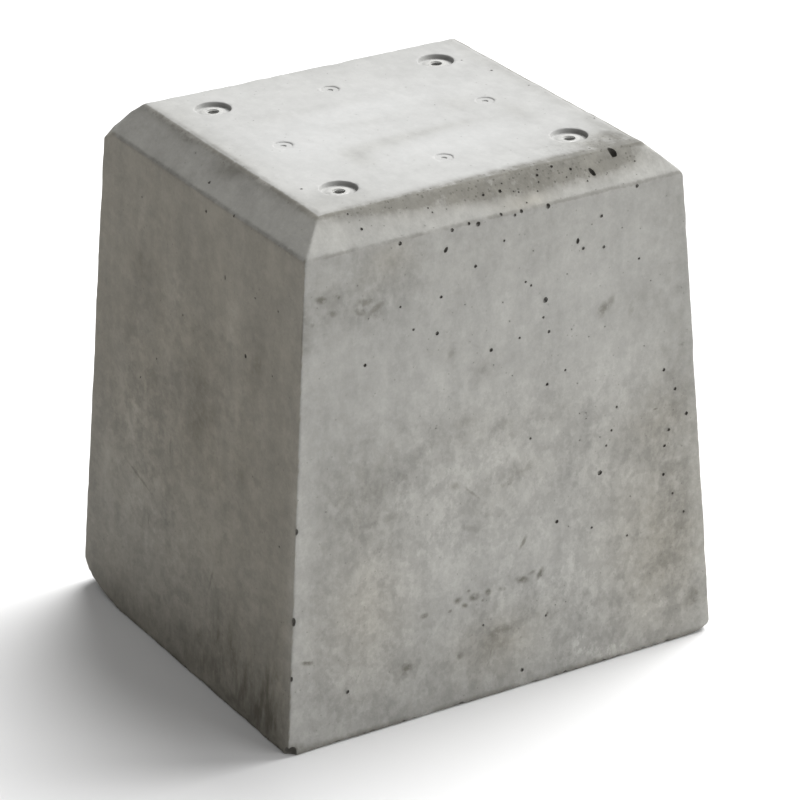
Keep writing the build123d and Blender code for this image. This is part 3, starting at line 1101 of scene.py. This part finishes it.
def along_axes(place, axes):
    """A place given along three other axes."""
    joined = new_node("ShaderNodeCombineXYZ", place)
    parts = [vector_step("DOT_PRODUCT", place, axis, "Value") for axis in axes]
    return fed(joined, dict(enumerate(parts)))


def add_bump(shader, height, strength, distance):
    """Gives the shader a fine relief."""
    bump = new_node("ShaderNodeBump", height)
    normal = fed(bump, {"Height": height, "Strength": strength, "Distance": distance})
    fed(shader, {"Normal": normal})


def drawn_marks(edges, fine_edges, marks, core):
    """Ovals drawn on the faces, each at its strength; where two meet, the stronger one counts."""
    total = None
    for (face, lean), ovals in marks.items():
        axes = axes_on(PLANES[face][0], lean)
        wide_view = along_axes(edges, axes)
        fine_view = along_axes(fine_edges, axes)
        for across, up, half_long, half_wide, strength in ovals:
            reach = (half_long * MM * MARK_SPREAD, half_wide * MM * MARK_SPREAD, MARK_THICKNESS)
            centre = face_point(face, across, up)
            view = wide_view if min(half_long, half_wide) > THIN_MARK else fine_view
            scale = [1 / half for half in reach]
            shift = [-centre.dot(axis) / half for axis, half in zip(axes, reach)]
            local = vector_step("MULTIPLY_ADD", view, scale, third=shift)
            distance = vector_step("LENGTH", local, result="Value")
            mark = remap(distance, 1, core, 0, strength)
            total = mark if total is None else larger(total, mark)
    return total


def arris_lines(place):
    """Thin dark lines along the foot, the shoulder and the top, fading in and out."""
    parts = new_node("ShaderNodeSeparateXYZ", place)
    fed(parts, {0: place})
    x, y, z = parts.outputs
    # The line at the shoulder is painted shade, standing in for a shallow groove there
    off_shoulder = calc("ABSOLUTE", calc("SUBTRACT", z, SHOULDER_HEIGHT))
    shoulder = remap(off_shoulder, 2.2 * MM, 0.4 * MM, 0, 0.5)
    beyond_x = calc("SUBTRACT", calc("ABSOLUTE", x), CROWN_X)
    beyond_y = calc("SUBTRACT", calc("ABSOLUTE", y), CROWN_Y)
    near_top = remap(z, HEIGHT - 5 * MM, HEIGHT - 1.5 * MM)
    foot = remap(z, 8 * MM, 0.5 * MM, 0, 0.85)
    beyond = remap(larger(beyond_x, beyond_y), -3.0 * MM, 0.4 * MM, 0, 0.9)
    return larger(larger(shoulder, foot), times(beyond, near_top))


# Concrete: colours, then the marks' thickness, spread, soft rims and the limit of the fine-edged ones
CEMENT = (0.284, 0.281, 0.264)
# The top's colour is lighter than the sides' partly as painted light on the top, partly as its pale film
TOP_CEMENT_AND_LIGHT = (0.425, 0.426, 0.419)
DARK_CEMENT = (0.135, 0.130, 0.112)
PALE_CEMENT = (0.385, 0.382, 0.360)
CRUST_COLOUR = (0.41, 0.406, 0.382)
BROWN_TINT = (1.0, 0.965, 0.905)
SHADE_AND_GRIME_TINT = (0.765, 0.737, 0.686)
# Painted shade deep in the voids
VOID_SHADE_COLOUR = (0.078, 0.074, 0.065)
# Painted shade on the recess walls
RECESS_SHADE_COLOUR = (0.10, 0.097, 0.09)
DARK_DOT = (0.09, 0.086, 0.075)
WHITE = (1, 1, 1)
MARK_THICKNESS = 14 * MM
MARK_SPREAD = 1.55
SMUDGE_CORE = 0.15
CRUST_CORE = 0.35
THIN_MARK = 3.9
# How patterns are stretched: as the mix settles, as streaks rise, as water drips
SETTLED = (1, 0.62, 0.78)
TALL = (1, 1, 0.10)
DRIPPING = (1, 1, 0.26)


def concrete_material():
    """Cast concrete: layered clouds, mottling, grain, stains, bloom, streaks and specks, with painted shade
    in the voids, the recesses and on the left side, and painted light on the top.
    """
    material, tree, shader = new_material("cast_concrete")
    even = scaled_place(tree, (1, 1, 1))
    settled = scaled_place(tree, SETTLED)
    tall = scaled_place(tree, TALL, (3.1, 0.7, 0.2))
    wide_edges = ragged(even, 130, 11 * MM)
    fine_edges = ragged(even, 260, 3.2 * MM)
    clouds = cloud(even, 9, 3, 0.5)
    mottle = cloud(settled, 34, 5, 0.6)
    blotch = cloud(settled, 120, 4, 0.62)
    fine = cloud(even, 420, 3, 0.6)
    grain = cloud(even, 1250, 1, 0.5)
    streak = cloud(tall, 48, 2, 0.55)
    speckle = cloud(even, 210, 4, 0.65)
    patterns = ((mottle, 0.34), (blotch, 0.30), (fine, 0.17), (grain, 0.05), (streak, 0.26))
    value = swing(clouds, 0.20)
    for pattern, amount in patterns:
        value = plus(swing(pattern, amount), value)
    flakes = remap(cloud(settled, 52, 8, 0.68), 0.46, 0.56)
    islands = cloud(scaled_place(tree, SETTLED, (5.2, 1.7, 3.3)), 150, 6, 0.7)
    islands = remap(islands, 0.45, 0.57)
    laitance = plus(times(flakes, 0.55), times(islands, 0.45))
    laitance = swing(laitance, remap(attribute(tree, "mottled"), 0, 1, 0.09, 0.27))
    film = attribute(tree, "film")
    value = times(plus(laitance, value), remap(film, 0, 1, 1.0, 0.45))
    value = times(value, remap(attribute(tree, "left_shade_and_grime"), 0, 1, 1.0, 1.15))
    value = plus(value, 1.0)
    # The pale film and the painted light on the top
    base = blend(film, CEMENT, TOP_CEMENT_AND_LIGHT)
    warm = blend(broken(attribute(tree, "warm"), mottle, 0.35, 0.85), WHITE, BROWN_TINT)

    pale = broken(attribute(tree, "pale"), cloud(settled, 70, 6, 0.68), 3.0)
    crusts = drawn_marks(fine_edges, fine_edges, CRUSTS, CRUST_CORE)
    crusts = broken(crusts, islands, 0.5, 0.8)
    base = blend(times(pale, 0.62), base, PALE_CEMENT)
    base = blend(crusts, base, CRUST_COLOUR)

    stain_and_shade = broken(attribute(tree, "stain_and_shade"), cloud(settled, 95, 6, 0.68), 2.6)
    smudges = drawn_marks(wide_edges, fine_edges, SMUDGES, SMUDGE_CORE)
    smudges = broken(smudges, speckle, 4.0, 0.9)
    lines = broken(arris_lines(fine_edges), cloud(even, 38, 6, 0.7), 4.5, 0.75)
    # Stains, with the painted shade of the shoulder line and of the broad patches on the left
    stain_and_shade = larger(times(stain_and_shade, 0.76), larger(smudges, lines))
    drip_pattern = cloud(scaled_place(tree, DRIPPING, (1.3, 2.2, 0.5)), 62, 5, 0.65)
    stain_and_shade = larger(stain_and_shade, broken(attribute(tree, "drips"), drip_pattern, 3.6, 0.42))
    base = blend(stain_and_shade, base, DARK_CEMENT)
    # Painted shade on the recess walls, strongest on the side away from the key light
    base = blend(times(attribute(tree, "recess_shade"), 0.85), base, RECESS_SHADE_COLOUR)
    shade = fed(new_node("ShaderNodeCombineColor", value), {0: value, 1: value, 2: value})
    base = blend(1.0, base, shade, "MULTIPLY")

    dark_dots = specks(even, 230, 0.2, 0.08)
    pale_dots = specks(scaled_place(tree, (1, 1, 1), (0.4, 0.2, 0.9)), 260, 0.22, 0.08)
    base = blend(times(pale_dots, 0.16), base, PALE_CEMENT)
    dark_dots = times(dark_dots, remap(stain_and_shade, 0.1, 0.7, 0.35, 0.9))
    pepper = broken(specks(even, 300, 0.36, 0.5), speckle, 5.0, 0.6)
    pepper = times(pepper, remap(attribute(tree, "stain_and_shade"), 0.5, 1.3, 0, 0.85))
    base = blend(larger(dark_dots, pepper), base, DARK_DOT)
    base = blend(1.0, base, warm, "MULTIPLY")
    # Painted shade and brown grime over the left side
    base = blend(1.0, base, blend(attribute(tree, "left_shade_and_grime"), WHITE, SHADE_AND_GRIME_TINT), "MULTIPLY")
    # Painted shade deep in the voids
    base = blend(attribute(tree, "void_shade"), base, VOID_SHADE_COLOUR)
    roughness = remap(mottle, 0.3, 0.7, 0.80, 0.95)
    fed(shader, {"Base Color": base, "Roughness": roughness, "Specular IOR Level": 0.3})
    relief = plus(times(blotch, 0.5), times(fine, 0.35))
    relief = plus(relief, times(grain, 0.12))
    add_bump(shader, relief, 0.22, 0.6 * MM)
    return material


# Socket colours
ZINC = (0.40, 0.40, 0.39)
ZINC_DARK = (0.30, 0.295, 0.28)
CEMENT_FILM = (0.43, 0.43, 0.415)


def zinc_material():
    """Dull zinc plate with a film of cement."""
    material, tree, shader = new_material("dull_zinc")
    even = scaled_place(tree, (1, 1, 1))
    spangle = cloud(even, 900, 3, 0.6)
    film = remap(cloud(even, 260, 4, 0.65), 0.34, 0.54)
    colour = blend(remap(spangle, 0.3, 0.7), ZINC_DARK, ZINC)
    colour = blend(film, colour, CEMENT_FILM)
    roughness = remap(film, 0, 1, 0.5, 0.9)
    metallic = remap(film, 0, 1, 0.5, 0.0)
    fed(shader, {"Base Color": colour, "Roughness": roughness, "Metallic": metallic})
    add_bump(shader, film, 0.3, 0.2 * MM)
    return material


# Floor and light
FLOOR_HALF = 6.0
FLOOR_DROP = 0.2 * MM
FLOOR_COLOUR = (0.80, 0.80, 0.80)
SURROUNDINGS = 0.34
KEY_STRENGTH = 5.2
KEY_PLACE = (1.75, 0.65, 2.3)
KEY_TARGET = (0, 0, 0)
KEY_ANGLE = math.radians(52)
FRONT_STRENGTH = 62
FRONT_PLACE = (1.7, -3.0, 1.0)
FRONT_TARGET = (0, 0, 0.22)
FRONT_SIZE = 2.2


def make_floor():
    """Large plain pale floor under the block."""
    corners = ((-1, -1), (1, -1), (1, 1), (-1, 1))
    points = [(x * FLOOR_HALF, y * FLOOR_HALF, -FLOOR_DROP) for x, y in corners]
    floor = mesh_object("floor", points, [(0, 1, 2, 3)])
    material, _, shader = new_material("floor_paint")
    fed(shader, {"Base Color": FLOOR_COLOUR, "Roughness": 0.95, "Specular IOR Level": 0.0})
    floor.data.materials.append(material)


def add_lamp(name, kind, strength, place, target):
    """Lamp at a place, turned to a target."""
    data = bpy.data.lights.new(name, kind)
    data.energy = strength
    lamp = bpy.data.objects.new(name, data)
    lamp.location = place
    lamp.rotation_euler = (Vector(target) - Vector(place)).to_track_quat("-Z", "Y").to_euler()
    bpy.context.scene.collection.objects.link(lamp)
    return data


def make_lights():
    """Dim white surroundings, a broad high key from the back right and a softbox in front."""
    world = bpy.data.worlds.new("studio")
    world.use_nodes = True
    background = world.node_tree.nodes["Background"]
    fed(background, {"Color": WHITE, "Strength": SURROUNDINGS})
    bpy.context.scene.world = world
    key = add_lamp("key", "SUN", KEY_STRENGTH, KEY_PLACE, KEY_TARGET)
    key.angle = KEY_ANGLE
    front = add_lamp("front", "AREA", FRONT_STRENGTH, FRONT_PLACE, FRONT_TARGET)
    front.size = FRONT_SIZE


make_camera()
make_block()
zinc = zinc_material()
for node in SOCKET_NODES:
    make_socket(node, zinc)
make_floor()
make_lights()

bpy.context.scene.view_settings.view_transform = "Standard"
